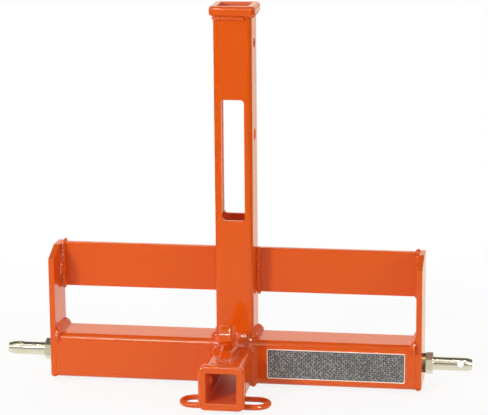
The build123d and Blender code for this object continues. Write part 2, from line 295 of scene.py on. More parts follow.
print("finishes:", orange_coat.name, zinc_plate.name, washer_steel.name)

# %% [markdown]
# The pins' hexagons are left as the bar was rolled, so nearer to the middle of the hitch than the
# shoulders their gloss is lower. Pin and hexagon are one piece, so the rule is the distance from
# the middle along X, and a Mix node takes the shader's roughness over there.

# %% Duller hexagons
shoulder_x = 331.0 * MM
rolled_roughness = 0.28
pin_tree = zinc_plate.node_tree
pin_shader = pin_tree.nodes["Principled BSDF"]
pin_place = add_node(pin_tree, "ShaderNodeTexCoord")
pin_xyz = add_node(pin_tree, "ShaderNodeSeparateXYZ")
from_middle = maths(pin_tree, "ABSOLUTE")
on_hexagon = maths(pin_tree, "LESS_THAN", shoulder_x)
pin_gloss = add_node(pin_tree, "ShaderNodeMix", data_type="FLOAT", B=rolled_roughness)
pin_tree.links.new(pin_shader.inputs["Roughness"].links[0].from_socket, pin_gloss.inputs["A"])
connect(
    pin_tree,
    (pin_place, "Object", pin_xyz, 0),
    (pin_xyz, "X", from_middle, 0),
    (from_middle, 0, on_hexagon, 0),
    (on_hexagon, 0, pin_gloss, "Factor"),
    (pin_gloss, "Result", pin_shader, "Roughness"),
)
print("hexagons duller within", round(shoulder_x / MM), "mm of the middle")

# %% [markdown]
# The record names a material slot for each CAD node, so one table of slots dresses them all.

# %% Dress the CAD nodes
finish_of_slot = {"orange_coat": orange_coat, "zinc_steel": zinc_plate, "dark_steel": washer_steel}
for row in frame["record"]["subparts"]:
    node_mesh = frame["nodes"][row["node"]].data
    node_mesh.materials.clear()
    node_mesh.materials.append(finish_of_slot[row["material_slot"]])

# %% [markdown]
# ## Inside the sockets
#
# Powder blows into the end of a tube less evenly, so both sockets are rougher inside. They are also
# painted a little lighter and yellower than out: painted light, standing in for the light that comes
# in through the tube's open ends. A point belongs to the socket when it is nearer than half a socket
# to the tube's axis. That could be painted on the vertices, but a rule on Object coordinates leaves
# the CAD mesh as it is. The group gives a mask, and each tube sets its own axis.

# %% Socket mask
half_socket = 26.2 * MM
socket_group, socket_in, socket_out = new_group(
    "socket_mask",
    [
        ("Axis Point", VECTOR, (0.0, 0.0, 0.0)),
        ("Across", VECTOR, (1.0, 0.0, 1.0)),
        ("Half Size", FLOAT, half_socket),
    ],
    [("Mask", FLOAT)],
)
socket_place = add_node(socket_group, "ShaderNodeTexCoord")
from_axis = add_node(socket_group, "ShaderNodeVectorMath", operation="SUBTRACT")
across = add_node(socket_group, "ShaderNodeVectorMath", operation="MULTIPLY")
unsigned = add_node(socket_group, "ShaderNodeVectorMath", operation="ABSOLUTE")
distances = add_node(socket_group, "ShaderNodeSeparateXYZ")
wider = maths(socket_group, "MAXIMUM")
widest = maths(socket_group, "MAXIMUM")
inside = maths(socket_group, "LESS_THAN")
connect(
    socket_group,
    (socket_place, "Object", from_axis, 0),
    (socket_in, "Axis Point", from_axis, 1),
    (from_axis, "Vector", across, 0),
    (socket_in, "Across", across, 1),
    (across, "Vector", unsigned, 0),
    (unsigned, "Vector", distances, 0),
    (distances, "X", wider, 0),
    (distances, "Y", wider, 1),
    (wider, 0, widest, 0),
    (distances, "Z", widest, 1),
    (widest, 0, inside, 0),
    (socket_in, "Half Size", inside, 1),
    (inside, 0, socket_out, "Mask"),
)
print("socket mask reaches", round(half_socket / MM, 1), "mm from the axis")

# %% [markdown]
# The finish starts as the orange coat. Between its group and its shader two Mix nodes are set in,
# one for colour and one for roughness, and the mask drives both. The colour mix paints the lighter
# inside as painted light.

# %% Socket finish
# Painted light: the lighter, yellower colour that the mask puts inside the sockets.
socket_painted_light_colour = (0.84, 0.13, 0.009, 1.0)
thin_roughness = 0.5


def socket_finish(name, axis_point, across_axis):
    """The orange coat, rougher inside the socket round the given axis, and painted lighter and yellower
    there as painted light.
    """
    material = steel_finish(name, orange_peel, powder_shader, **powder)
    tree = material.node_tree
    shader = tree.nodes["Principled BSDF"]
    mask = add_node(tree, "ShaderNodeGroup", node_tree=socket_group)
    mask.inputs["Axis Point"].default_value = axis_point
    mask.inputs["Across"].default_value = across_axis
    painted_light_mix = add_node(tree, "ShaderNodeMix", data_type="RGBA", B=socket_painted_light_colour)
    rough = add_node(tree, "ShaderNodeMix", data_type="FLOAT", B=thin_roughness)
    for mix, socket_name in ((painted_light_mix, "Base Color"), (rough, "Roughness")):
        tree.links.new(shader.inputs[socket_name].links[0].from_socket, mix.inputs["A"])
        connect(tree, (mask, "Mask", mix, "Factor"), (mix, "Result", shader, socket_name))
    return material


def middle_of(node_name):
    """The middle of a node's box."""
    low, high = (Vector(corner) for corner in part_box(node_name))
    return (low + high) / 2


for node_name, across_axis in (("mast_tube", (1.0, 1.0, 0.0)), ("receiver_tube", (1.0, 0.0, 1.0))):
    finish = socket_finish(node_name.replace("tube", "coat"), middle_of(node_name), across_axis)
    frame["nodes"][node_name].data.materials[0] = finish
    print("rougher coat inside:", node_name)

# %% [markdown]
# ## Weld beads
#
# A hand laid bead looks like a row of overlapping coins, because the welder pauses at every
# step and the pool freezes in a crescent. The CAD fillets give the body of each bead. The coins
# are one small flattened ball, set along a path by Geometry Nodes. They could be modelled one by
# one, but a tree lays hundreds of them evenly and lets each seam have its own pitch.

# %% Bead tree sockets
def new_geometry_tree(name, sockets):
    """An empty Geometry Nodes tree with its sockets, and its two end nodes."""
    tree = bpy.data.node_groups.new(name, "GeometryNodeTree")
    tree.is_modifier = True
    for socket_name, kind, in_out in sockets:
        tree.interface.new_socket(socket_name, in_out=in_out, socket_type=kind)
    return tree, tree.nodes.new("NodeGroupInput"), tree.nodes.new("NodeGroupOutput")


bead_tree, bead_in, bead_out = new_geometry_tree("weld_coins", (
    ("Path", "NodeSocketGeometry", "INPUT"),
    ("Pitch", "NodeSocketFloat", "INPUT"),
    ("Width Share", "NodeSocketFloat", "INPUT"),
    ("Crown Share", "NodeSocketFloat", "INPUT"),
    ("Seed", "NodeSocketInt", "INPUT"),
    ("Coat", "NodeSocketMaterial", "INPUT"),
    ("Beads", "NodeSocketGeometry", "OUTPUT"),
))
print("bead tree sockets:", len(bead_tree.interface.items_tree))

# %% [markdown]
# First the path is resampled at the pitch of the steps. Which way a coin faces and how big the
# fillet is there are stored on the path's points, so one tree serves straight seams and rings
# alike. Every coin is turned along the path, then round it to face away from both plates, and
# last it is tipped back a little, as the pool leans.

# %% Places and turns of the coins
tip_back = math.radians(-17.0)
to_curve = add_node(bead_tree, "GeometryNodeMeshToCurve")
resample = add_node(bead_tree, "GeometryNodeResampleCurve", mode="LENGTH")
to_points = add_node(bead_tree, "GeometryNodeCurveToPoints", mode="EVALUATED")
facing = add_node(bead_tree, "GeometryNodeInputNamedAttribute", data_type="FLOAT_VECTOR", Name="facing")
leg_size = add_node(bead_tree, "GeometryNodeInputNamedAttribute", data_type="FLOAT", Name="leg")
along_turn = add_node(bead_tree, "FunctionNodeAlignRotationToVector", axis="X")
face_turn = add_node(bead_tree, "FunctionNodeAlignRotationToVector", axis="Z", pivot_axis="X")
tip = add_node(bead_tree, "FunctionNodeRotateRotation", rotation_space="LOCAL")
tip.inputs["Rotate By"].default_value = (0.0, tip_back, 0.0)
connect(
    bead_tree,
    (bead_in, "Path", to_curve, "Mesh"),
    (to_curve, "Curve", resample, "Curve"),
    (bead_in, "Pitch", resample, "Length"),
    (resample, "Curve", to_points, "Curve"),
    (to_points, "Tangent", along_turn, "Vector"),
    (along_turn, "Rotation", face_turn, "Rotation"),
    (facing, "Attribute", face_turn, "Vector"),
    (face_turn, "Rotation", tip, "Rotation"),
)
print("coins tip back by", round(-math.degrees(tip_back)), "degrees")

# %% [markdown]
# A coin reaches nearly a pitch each way from its middle, so neighbours overlap by nearly half. Its
# width and its crown are shares of the fillet's leg, and a random factor varies all three. The
# ball has few faces, because hundreds of them are laid.

# %% Size of the coins
coin_reach = 0.92
coin_variation = (0.88, 1.1)
coin_segments, coin_rings = 10, 6
coin = add_node(bead_tree, "GeometryNodeMeshUVSphere",
                Segments=coin_segments, Rings=coin_rings, Radius=1.0)
coin_length = maths(bead_tree, "MULTIPLY", coin_reach)
coin_width = maths(bead_tree, "MULTIPLY")
coin_crown = maths(bead_tree, "MULTIPLY")
coin_size = add_node(bead_tree, "ShaderNodeCombineXYZ")
vary = add_node(bead_tree, "FunctionNodeRandomValue", data_type="FLOAT")
vary.inputs[2].default_value, vary.inputs[3].default_value = coin_variation
size_vary = add_node(bead_tree, "ShaderNodeVectorMath", operation="SCALE")
connect(
    bead_tree,
    (bead_in, "Pitch", coin_length, 0),
    (leg_size, "Attribute", coin_width, 0),
    (bead_in, "Width Share", coin_width, 1),
    (leg_size, "Attribute", coin_crown, 0),
    (bead_in, "Crown Share", coin_crown, 1),
    (coin_length, 0, coin_size, "X"),
    (coin_width, 0, coin_size, "Y"),
    (coin_crown, 0, coin_size, "Z"),
    (bead_in, "Seed", vary, "Seed"),
    (coin_size, "Vector", size_vary, 0),
    (vary, 1, size_vary, "Scale"),
)
print("coin faces:", coin_segments * coin_rings)

# %% [markdown]
# The coins are instances, copies that share one mesh. Realize Instances makes them real faces,
# so that the finished piece can leave Blender, and Set Material gives them their coat.

# %% Lay and coat the coins
place_coins = add_node(bead_tree, "GeometryNodeInstanceOnPoints")
realize = add_node(bead_tree, "GeometryNodeRealizeInstances")
smooth = add_node(bead_tree, "GeometryNodeSetShadeSmooth")
coat_beads = add_node(bead_tree, "GeometryNodeSetMaterial")
connect(
    bead_tree,
    (to_points, "Points", place_coins, "Points"),
    (coin, "Mesh", place_coins, "Instance"),
    (tip, "Rotation", place_coins, "Rotation"),
    (size_vary, "Vector", place_coins, "Scale"),
    (place_coins, "Instances", realize, "Geometry"),
    (realize, "Geometry", smooth, "Geometry"),
    (smooth, "Geometry", coat_beads, "Geometry"),
    (bead_in, "Coat", coat_beads, "Material"),
    (coat_beads, "Geometry", bead_out, "Beads"),
)
print("bead tree has", len(bead_tree.nodes), "nodes")

# %% [markdown]
# ## From a tree to a piece
#
# A tree runs as a modifier on a carrier mesh. The modifier's inputs are set by each socket's
# identifier before Blender evaluates the object, then the result is taken as a plain mesh and
# the carrier is thrown away. The piece that is left rides on the hitch.

# %% Grow a piece
def stand(name, mesh):
    """Put a finished mesh in the scene as a piece that moves with the hitch."""
    mesh.name = name
    piece = bpy.data.objects.new(name, mesh)
    scene.collection.objects.link(piece)
    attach(piece, "root")
    print(name, "faces:", len(mesh.polygons))
    return piece


def grow(name, tree, carrier_mesh, slot_name, **inputs):
    """A finished piece: what the tree makes of the carrier mesh."""
    socket_id = {item.name: item.identifier for item in tree.interface.items_tree}
    carrier = bpy.data.objects.new(name + "_carrier", carrier_mesh)
    scene.collection.objects.link(carrier)
    modifier = carrier.modifiers.new(tree.name, "NODES")
    modifier.node_group = tree
    for socket_name, value in inputs.items():
        modifier[socket_id[socket_name.replace("_", " ")]] = value
    depsgraph = bpy.context.evaluated_depsgraph_get()
    mesh = bpy.data.meshes.new_from_object(carrier.evaluated_get(depsgraph), depsgraph=depsgraph)
    bpy.data.objects.remove(carrier)
    return stand(name, mesh)


print("pieces can be grown")

# %% [markdown]
# A seam reaches the tree as a path mesh, which is only points and edges. The facing and the leg
# are stored on its points as attributes, and the tree reads them by their names.

# %% Lay beads
coin_width_share = 0.66


def lay_beads(name, runs, pitch=0.0054, seed=1, crown=0.22):
    """Coins along each run; a run is a list of (point, facing) and the leg of its fillet."""
    points, edges, facings, legs = [], [], [], []
    for run, leg in runs:
        first = len(points)
        edges += [(first + step, first + step + 1) for step in range(len(run) - 1)]
        for point, outward in run:
            points.append(tuple(point))
            facings += outward.normalized()[:]
            legs.append(leg)
    path_mesh = bpy.data.meshes.new(name + "_path")
    path_mesh.from_pydata(points, edges, [])
    path_mesh.attributes.new("facing", "FLOAT_VECTOR", "POINT").data.foreach_set("vector", facings)
    path_mesh.attributes.new("leg", "FLOAT", "POINT").data.foreach_set("value", legs)
    return grow(name, bead_tree, path_mesh, "orange_coat", Pitch=pitch, Width_Share=coin_width_share,
                Crown_Share=crown, Seed=seed, Coat=orange_coat)


print("coins are", coin_width_share, "of a leg wide")

# %% [markdown]
# ## Two kinds of seam
#
# A straight seam is given by the corner it fills: the middle of that corner, the two directions
# away from it, and its length. A ring seam runs round a rounded square tube. Both are moved out
# by half a leg, to the middle of the fillet's face, where the coins belong.

# %% Seams
def seam(corner, side, climb, length, leg):
    """A straight run along a corner between two faces that look towards side and climb."""
    side, climb = Vector(side), Vector(climb)
    middle = Vector(corner) + (side + climb) * leg / 2
    along = side.cross(climb)
    ends = (middle - along * length / 2, middle + along * length / 2)
    return [(end, side + climb) for end in ends], leg


def ring(half_x, half_y, radius, leg, place_point, climb, first_side=0, closed=False, steps=6):
    """A run clockwise round a rounded rectangle, without its last side unless it is closed."""
    half_x, half_y, radius = half_x + leg / 2, half_y + leg / 2, radius + leg / 2
    run = []
    for side in range(first_side, first_side + 4):
        corner = Vector(((half_x - radius) * (1, 1, -1, -1)[side % 4],
                         (half_y - radius) * (1, -1, -1, 1)[side % 4]))
        for step in range(steps + 1):
            angle = math.pi / 2 * (1 - side - step / steps)
            outward = Vector((math.cos(angle), math.sin(angle)))
            point = place_point(corner + radius * outward)
            run.append((point, place_point(outward) - place_point(Vector((0.0, 0.0))) + Vector(climb)))
    if closed:
        run.append(run[0])
    return run, leg


X, Y, Z = Vector((1.0, 0.0, 0.0)), Vector((0.0, 1.0, 0.0)), Vector((0.0, 0.0, 1.0))
beam_low, beam_high = (Vector(corner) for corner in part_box("cross_tube"))
tube_low, tube_high = (Vector(corner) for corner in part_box("receiver_tube"))
half_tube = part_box("mast_tube")[1][0]
tube_corner = 7.94 * MM
print("seams start from a tube of", round(2 * half_tube / MM, 1), "mm")

# %% [markdown]
# ## The mast's foot
#
# The heaviest bead of the hitch runs round the front and sides of the mast. At the back the mast
# is level with the cross tube, so the bead there is a flat cap on a butt seam. The ring's first
# and last steps are left out, because they lie on the mast's back corners.

# %% Mast beads
mast_leg = 9.5 * MM
back_steps = 3
mast_y = middle_of("mast_tube").y
foot_z = beam_high.z + mast_leg / 2
foot_run, foot_leg = ring(half_tube, half_tube, tube_corner, mast_leg,
                          lambda p: Vector((p.x, mast_y + p.y, foot_z)), Z)
cap_leg = 7.0 * MM
cap_sunk = Vector((0.0, 2.0, 2.5)) * MM
cap_corner = Vector((0.0, beam_high.y, beam_high.z)) - cap_sunk
cap_length = 1.8 * half_tube
lay_beads("mast_foot_beads", [(foot_run[back_steps:-back_steps], foot_leg)], seed=3)
lay_beads("mast_cap_beads", [seam(cap_corner, Y, Z, cap_length, cap_leg)], seed=4)

# %% [markdown]
# ## The receiver's beads
#
# The receiver passes right through the cross tube, so it is welded round its top and sides on
# both faces. The top pass is laid in steps like the others. The side passes were drawn upwards
# and came out nearly smooth, so their coins are much flatter. The rear ring is the front one
# mirrored.

# %% Receiver beads
receiver_leg = 8.0 * MM
receiver_z = middle_of("receiver_tube").z
side_top_z = tube_high.z - tube_corner
lowest_bead_z = beam_low.z + 0.5 * MM
for name, face_y, way, seed in (
    ("receiver_front", beam_low.y, -1, 5),
    ("receiver_rear", beam_high.y, 1, 6),
):
    depth = face_y + way * receiver_leg / 2
    run, leg = ring(half_tube, half_tube, tube_corner, receiver_leg,
                    lambda p: Vector((-way * p.x, depth, receiver_z + p.y)), way * Y, first_side=2)
    run = [step for step in run if step[0].z > lowest_bead_z]
    first = next(i for i, (point, _) in enumerate(run) if point.z > side_top_z)
    last = len(run) - next(i for i, (point, _) in enumerate(run[::-1]) if point.z > side_top_z)
    lay_beads(name + "_beads", [(run[first:last], leg)], seed=seed)
    lay_beads(name + "_side_beads", [(run[:first + 1], leg), (run[last - 1:], leg)], seed=seed + 20,
              pitch=0.0042, crown=0.1)

# %% [markdown]
# ## Collars
#
# Each collar has short straight seams where it meets its tube. The mast's collar has one below
# its front and one below its back, a little left of the middle, and the receiver's collar has one
# behind its top and each side.

# %% Collar beads
mast_collar_leg = 8.0 * MM
mast_collar_bead = 46.0 * MM
bead_shift = -5.5 * MM
mast_collar_middle = Vector((bead_shift, mast_y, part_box("mast_collar")[0][2]))
lay_beads(
    "mast_collar_beads",
    [seam(mast_collar_middle + half_tube * side, side, -Z, mast_collar_bead, mast_collar_leg)
     for side in (Y, -Y)],
    pitch=0.0046, seed=7, crown=0.17,
)
collar_leg = 7.0 * MM
collar_bead = 31.0 * MM
collar_middle = Vector((0.0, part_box("receiver_collar")[1][1], receiver_z))
lay_beads(
    "receiver_collar_beads",
    [seam(collar_middle + half_tube * side, side, Y, collar_bead, collar_leg) for side in (X, -X, Z)],
    pitch=0.0042, seed=8, crown=0.12,
)

# %% [markdown]
# ## End plates
#
# The seam on each plate runs over the top of the cross tube and wraps round its front and back
# edges, so it is part of a ring round the tube's section. A few lumps show under the plates.

# %% End plate beads
plate_leg = 9.0 * MM
beam_corner = 7.94 * MM
beam_middle = (beam_low + beam_high) / 2
half_beam = beam_high.z - beam_middle.z
wrap_down = 15.0 * MM
lump_leg = 7.0 * MM
half_lump_run = 36.0 * MM * Y
lump_in, lump_drop = 4.0 * MM, 0.6 * MM
plate_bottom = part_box("end_plate_left")[0][2]
plate_seams, lumps = [], []
for way in (-1, 1):
    plate_x = way * beam_high.x
    seam_x = plate_x - way * plate_leg / 2
    run, leg = ring(half_beam, half_beam, beam_corner, plate_leg,
                    lambda p: Vector((seam_x, beam_middle.y + p.x, beam_middle.z + p.y)), -way * X,
                    first_side=2)
    plate_seams.append(([step for step in run if step[0].z > beam_high.z - wrap_down], leg))
    under = Vector((plate_x + way * lump_in, 0.0, plate_bottom - lump_drop))
    lumps.append(([(under - half_lump_run, -Z), (under + half_lump_run, -Z)], lump_leg))
lay_beads("end_plate_beads", plate_seams, seed=9)
lay_beads("end_plate_under_beads", lumps, pitch=0.0066, seed=13, crown=0.37)

# %% [markdown]
# ## Upper bars
#
# Each bar is welded down the front of the mast's side, and down the front and back of its end
# plate. In front of the plates a second pass was laid on the plate's edge beside the first, and
# it leans less towards the front.

# %% Upper bar beads
bar_leg = 7.5 * MM
bar_low, bar_high = (Vector(corner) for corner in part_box("upper_bar_left"))
bar_z = (bar_low.z + bar_high.z) / 2
bar_ends_bare = 4.0 * MM
bar_bead = bar_high.z - bar_low.z - bar_ends_bare
second_out, second_forward = 2.9 * MM, 6.5 * MM
second_lean = -0.4 * Y
bar_seams = []
for way in (-1, 1):
    plate_x = way * beam_high.x
    second_pass = Vector((plate_x + way * second_out, bar_low.y - second_forward, bar_z))
    bar_seams.append(seam((plate_x, bar_low.y, bar_z), -way * X, -Y, bar_bead, bar_leg))
    bar_seams.append(seam(second_pass, -way * X, second_lean, bar_bead, bar_leg))
    bar_seams.append(seam((plate_x, bar_high.y, bar_z), -way * X, Y, bar_bead, bar_leg))
    bar_seams.append(seam((way * half_tube, bar_low.y, bar_z), way * X, -Y, bar_bead, bar_leg))
lay_beads("upper_bar_beads", bar_seams, pitch=0.0062, seed=10, crown=0.33)

# %% [markdown]
# ## Chain parts
#
# The chain loop is held by a bead on each side of both its bars, and the chain hook by one small
# ring round its foot.

# %% Chain part beads
loop_low, loop_high = (Vector(corner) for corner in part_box("chain_loop"))
loop_bar_r = (loop_high.z - loop_low.z) / 2
loop_leg = 3.4 * MM
loop_bead = 46.0 * MM
loop_seam_out = 1.9 * MM
loop_seams = []
for bar_y in (loop_low.y + loop_bar_r, loop_high.y - loop_bar_r):
    for way in (-1, 1):
        corner = (0.0, bar_y + way * loop_seam_out, tube_low.z)
        loop_seams.append(seam(corner, way * Y, -Z, loop_bead, loop_leg))
lay_beads("chain_loop_beads", loop_seams, pitch=0.0046, seed=11, crown=0.3)
hook_low, hook_high = (Vector(corner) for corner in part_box("chain_hook_weld"))
hook_leg = hook_high.z - hook_low.z
hook_y = (hook_low.y + hook_high.y) / 2
hook_corner = 6.0 * MM
hook_inset = 0.4 * MM
spread = hook_leg + hook_inset
lay_beads(
    "chain_hook_beads",
    [ring(hook_high.x - spread, (hook_high.y - hook_low.y) / 2 - spread, hook_corner, hook_leg,
          lambda p: Vector((p.x, hook_y + p.y, hook_low.z + hook_leg / 2)), Z, closed=True)],
    pitch=0.0044, seed=12,
)

# %% [markdown]
# ## The sign plate
#
# A thin metal plate is fixed to the front of the cross tube, beside the receiver: a field of
# small raised lozenges, as on tread plate, inside a bright rim. The plate and the rim are lofts,
# rings of points joined by faces, which keeps their rounded corners exact. A cube with a Bevel
# modifier would do for the plate, but not for the rim.

# %% Loft helper
def loft(name, rings, closed=False):
    """A mesh through rings of as many points; the ends are capped, or joined when closed."""
    shape = bmesh.new()
    rows = [[shape.verts.new(point) for point in ring_points] for ring_points in rings]
    count = len(rows[0])
    pairs = list(zip(rows, rows[1:])) + ([(rows[-1], rows[0])] if closed else [])
    for lower, upper in pairs:
        for step in range(count):
            after = (step + 1) % count
            shape.faces.new((lower[step], lower[after], upper[after], upper[step]))
    if not closed:
        shape.faces.new(rows[0])
        shape.faces.new(rows[-1])
    bmesh.ops.recalc_face_normals(shape, faces=shape.faces)
    mesh = bpy.data.meshes.new(name)
    shape.to_mesh(mesh)
    shape.free()
    return mesh


sign_low = Vector((56.4 * MM, beam_low.y, -25.6 * MM))
sign_high = Vector((287.0 * MM, beam_low.y, 25.2 * MM))
sign_middle = (sign_low + sign_high) / 2
sign_half = (sign_high - sign_low) / 2
print("sign plate:", round(2 * sign_half.x / MM, 1), "by", round(2 * sign_half.z / MM, 1), "mm")

# %% [markdown]
# Every ring of the two lofts is the plate's outline, drawn in by some inset and standing proud of
# the cross tube by some height, so a profile is a short list of such pairs in millimetres. Both
# start just inside the cross tube, which leaves no gap behind them.

# %% Plate and rim
sign_corner = 2.5 * MM


def sign_outline(inset, proud):
    """The plate's outline, drawn in by inset and standing proud of the cross tube."""
    outline, _ = ring(sign_half.x - inset, sign_half.z - inset, sign_corner - inset / 2, 0.0,
                      lambda p: Vector((sign_middle.x + p.x, sign_middle.y - proud, sign_middle.z + p.y)),
                      (0.0, 0.0, 0.0))
    return [point for point, _ in outline]


plate_profile = ((0.4, -0.05), (0.4, 0.45), (0.6, 0.55))
rim_profile = ((0.0, -0.05), (0.0, 0.7), (0.25, 0.9), (1.25, 0.9), (1.5, 0.7), (1.5, -0.05))
plate_mesh = loft("sign_plate", [sign_outline(inset * MM, proud * MM) for inset, proud in plate_profile])
rim_mesh = loft("sign_plate_rim", [sign_outline(inset * MM, proud * MM) for inset, proud in rim_profile],
                closed=True)
print("faces of plate and rim:", len(plate_mesh.polygons), len(rim_mesh.polygons))

# %% [markdown]
# The plate is pressed aluminium, duller than the pins, and its field is darkened between the
# lozenges. The rim is rolled over and polished by handling.

# %% Sign finishes
sign_field = steel_finish(
    "pressed_aluminium",
    0.08 * MM,
    {"Metallic": 1.0},
    Colour=(0.16, 0.165, 0.195, 1.0),
    Drift_Colour=(0.06, 0.062, 0.077, 1.0),
    Drift_Size=160.0,
    Drift_Amount=0.9,
    Gloss=0.34,
    Gloss_Spread=0.2,
    Grain_Size=700.0,
)
sign_bright = steel_finish(
    "bright_aluminium",
    0.04 * MM,
    {"Metallic": 0.6},
    Colour=(0.94, 0.91, 0.86, 1.0),
    Drift_Colour=(0.80, 0.77, 0.72, 1.0),
    Drift_Size=60.0,
    Drift_Amount=0.5,
    Gloss=0.25,
    Gloss_Spread=0.15,
    Grain_Size=500.0,
)
lozenge_shine = steel_finish(
    "rubbed_lozenges",
    0.05 * MM,
    {"Metallic": 1.0},
    Colour=(0.58, 0.59, 0.64, 1.0),
    Drift_Colour=(0.22, 0.225, 0.26, 1.0),
    Drift_Size=220.0,
    Drift_Amount=0.9,
    Gloss=0.22,
    Gloss_Spread=0.15,
    Grain_Size=700.0,
)
plate_mesh.materials.append(sign_field)
rim_mesh.materials.append(sign_bright)
stand("sign_plate", plate_mesh)
stand("sign_plate_rim", rim_mesh)

# %% [markdown]
# ## Lozenges
#
# The lozenges repeat, so Geometry Nodes lay them out, on a grid whose size and counts are inputs
# of the tree.

# %% Lozenge tree sockets
tread_tree, tread_in, tread_out = new_geometry_tree("tread_lozenges", (
    ("Carrier", "NodeSocketGeometry", "INPUT"),
    ("Columns", "NodeSocketInt", "INPUT"),
    ("Rows", "NodeSocketInt", "INPUT"),
    ("Field Length", "NodeSocketFloat", "INPUT"),
    ("Field Height", "NodeSocketFloat", "INPUT"),
    ("Lozenge", "NodeSocketVector", "INPUT"),
    ("Place", "NodeSocketVector", "INPUT"),
    ("Seed", "NodeSocketInt", "INPUT"),
    ("Finish", "NodeSocketMaterial", "INPUT"),
    ("Lozenges", "NodeSocketGeometry", "OUTPUT"),
))
print("lozenge tree sockets:", len(tread_tree.interface.items_tree))

# %% [markdown]
# Every second lozenge leans the other way. With an odd number of rows the index of a grid point
# alone tells which: odd and even alternate like a chessboard. They are pressed unevenly, so a
# fixed seed shifts each one a little and varies its size.

# %% Places and sizes of the lozenges
lean_angle = math.radians(45.0)
smallest, largest = 0.45, 1.2
longest_stray = 0.7 * MM
field_grid = add_node(tread_tree, "GeometryNodeMeshGrid")
point_index = add_node(tread_tree, "GeometryNodeInputIndex")
every_second = maths(tread_tree, "MODULO", 2.0)
lean = maths(tread_tree, "MULTIPLY_ADD", 2.0 * lean_angle, -lean_angle)
lean_turn = add_node(tread_tree, "ShaderNodeCombineXYZ")
worn = add_node(tread_tree, "FunctionNodeRandomValue", data_type="FLOAT")
worn.inputs[2].default_value = smallest
worn.inputs[3].default_value = largest
worn_size = add_node(tread_tree, "ShaderNodeVectorMath", operation="SCALE")
stray = add_node(tread_tree, "FunctionNodeRandomValue", data_type="FLOAT_VECTOR")
stray.inputs[0].default_value = (-longest_stray, -longest_stray, 0.0)
stray.inputs[1].default_value = (longest_stray, longest_stray, 0.0)
strayed = add_node(tread_tree, "GeometryNodeSetPosition")
connect(
    tread_tree,
    (tread_in, "Columns", field_grid, "Vertices X"),
    (tread_in, "Rows", field_grid, "Vertices Y"),
    (tread_in, "Field Length", field_grid, "Size X"),
    (tread_in, "Field Height", field_grid, "Size Y"),
    (point_index, 0, every_second, 0),
    (every_second, 0, lean, 0),
    (lean, 0, lean_turn, "Z"),
    (tread_in, "Seed", worn, "Seed"),
    (tread_in, "Seed", stray, "Seed"),
    (field_grid, "Mesh", strayed, "Geometry"),
    (stray, 0, strayed, "Offset"),
    (tread_in, "Lozenge", worn_size, 0),
    (worn, 1, worn_size, "Scale"),
)
print("lozenges are", smallest, "to", largest, "of their full size")

# %% [markdown]
# A lozenge is a small ball of eight by four faces, flattened by its scale. The grid lies flat, so
# the whole field is turned upright and moved to the plate.

# %% Set the lozenges and stand them up
ball = add_node(tread_tree, "GeometryNodeMeshUVSphere", Segments=8, Rings=4, Radius=1.0)
set_lozenges = add_node(tread_tree, "GeometryNodeInstanceOnPoints")
tread_realize = add_node(tread_tree, "GeometryNodeRealizeInstances")
upright = add_node(tread_tree, "GeometryNodeTransform")
upright.inputs["Rotation"].default_value = (math.radians(90.0), 0.0, 0.0)
tread_coat = add_node(tread_tree, "GeometryNodeSetMaterial")
connect(
    tread_tree,
    (strayed, "Geometry", set_lozenges, "Points"),
    (ball, "Mesh", set_lozenges, "Instance"),
    (lean_turn, "Vector", set_lozenges, "Rotation"),
    (worn_size, "Vector", set_lozenges, "Scale"),
    (set_lozenges, "Instances", tread_realize, "Geometry"),
    (tread_realize, "Geometry", upright, "Geometry"),
    (tread_in, "Place", upright, "Translation"),
    (upright, "Geometry", tread_coat, "Geometry"),
    (tread_in, "Finish", tread_coat, "Material"),
    (tread_coat, "Geometry", tread_out, "Lozenges"),
)
field_margin = 4.5 * MM
field_proud = Vector((0.0, -0.5, 0.0)) * MM
grow("sign_plate_lozenges", tread_tree, bpy.data.meshes.new("tread_carrier"), "zinc_steel",
     Columns=61, Rows=13, Seed=14, Field_Length=(sign_half.x - field_margin) * 2,
     Field_Height=(sign_half.z - field_margin) * 2, Lozenge=(2.3 * MM, 0.8 * MM, 0.34 * MM),
     Place=sign_middle + field_proud, Finish=lozenge_shine)

# %% [markdown]
# ## Studio floor
#
# The hitch does not stand level: it rests on the front of its chain loop and on the back edge of
# the receiver, so the floor is a plane through those two. It is one big face, plain white, and
# its paint is an ordinary shader that is mixed further down with light of its own.

# %% Floor
front_foot = Vector((0.0, loop_low.y + loop_bar_r, loop_low.z))
back_foot = Vector((0.0, tube_high.y, tube_low.z))
floor_slope = math.atan2(back_foot.z - front_foot.z, back_foot.y - front_foot.y)
half_floor = 9.0
floor_gap = 0.2 * MM
floor_points = []
for corner_x, corner_y in ((-1, -1), (1, -1), (1, 1), (-1, 1)):
    reach = corner_y * half_floor
    floor_points.append((corner_x * half_floor, front_foot.y + reach,
                         front_foot.z + reach * math.tan(floor_slope) - floor_gap))
floor_mesh = bpy.data.meshes.new("studio_floor")
floor_mesh.from_pydata(floor_points, [], [(0, 1, 2, 3)])
floor = bpy.data.objects.new("studio_floor", floor_mesh)
scene.collection.objects.link(floor)
floor_paint, floor_tree, floor_shader = new_material(
    "studio_floor_paint", Roughness=0.6, Base_Color=(0.93, 0.93, 0.93, 1.0), Specular_IOR_Level=0.15)
floor_mesh.materials.append(floor_paint)
print("floor slope in degrees:", round(math.degrees(floor_slope), 2))

# %% [markdown]
# Polished steel mirrors this floor, but far in front of the hitch and to its sides the floor
# falls into the dark of the room, which is what draws the dark lines along the rounded edges. So
# there is a level for glossy rays: one curve along Y, multiplied by another along X.

